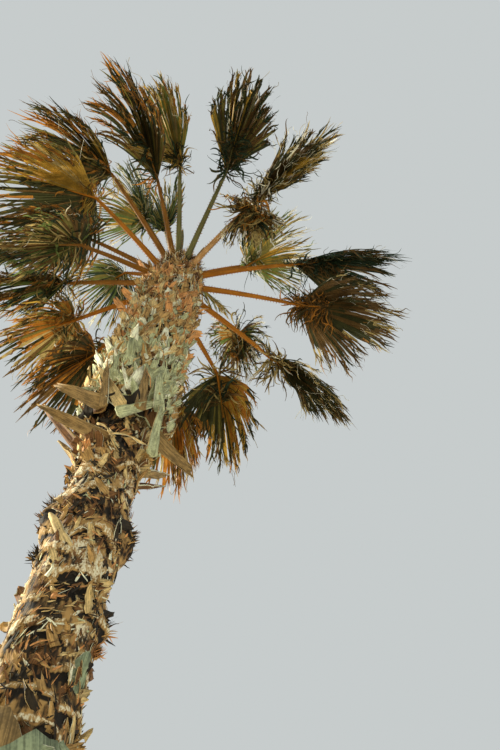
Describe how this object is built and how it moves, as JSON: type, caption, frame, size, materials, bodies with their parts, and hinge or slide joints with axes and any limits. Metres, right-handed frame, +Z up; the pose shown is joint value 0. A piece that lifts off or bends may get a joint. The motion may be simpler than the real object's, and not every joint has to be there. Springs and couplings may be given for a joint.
{
  "type": "fan palm tree",
  "caption": "Tall fan palm: straight fibrous trunk, a column of old leaf bases round its upper part, and a round crown of folded, drooping fan leaves on long stalks.",
  "frame": {"origin": "middle of the trunk's flat cut at ground level", "axes": "+Z up along the trunk, +X to the right in the picture, +Y away from the picture's camera"},
  "size_m": [4.5863, 4.019, 11.0137],
  "materials": {
    "bark": "rough fibrous bark",
    "leaf_base": "dry split leaf bases",
    "frond": "ribbed fan leaf on a stalk, matt",
    "spear": "unopened leaf, satin"
  },
  "bodies": {
    "root": {"trunk": "bark", "leaf_bases_1": "leaf_base", "leaf_bases_2": "leaf_base", "leaf_bases_3": "leaf_base", "leaf_bases_4": "leaf_base", "leaf_bases_5": "leaf_base", "leaf_bases_6": "leaf_base", "trunk_stubs_1": "leaf_base", "trunk_stubs_2": "leaf_base", "trunk_stubs_3": "leaf_base", "broken_stalks": "leaf_base", "frond_01": "frond", "frond_02": "frond", "frond_03": "frond", "frond_04": "frond", "frond_05": "frond", "frond_06": "frond", "frond_07": "frond", "frond_08": "frond", "frond_09": "frond", "frond_10": "frond", "frond_11": "frond", "frond_12": "frond", "frond_13": "frond", "frond_14": "frond", "frond_15": "frond", "frond_16": "frond", "frond_17": "frond", "frond_18": "frond", "frond_19": "frond", "frond_20": "frond", "frond_21": "frond", "frond_22": "frond", "frond_23": "frond", "frond_24": "frond", "frond_25": "frond", "frond_26": "frond", "spear_1": "spear", "spear_2": "spear", "spear_3": "spear"}
  },
  "joints": []
}
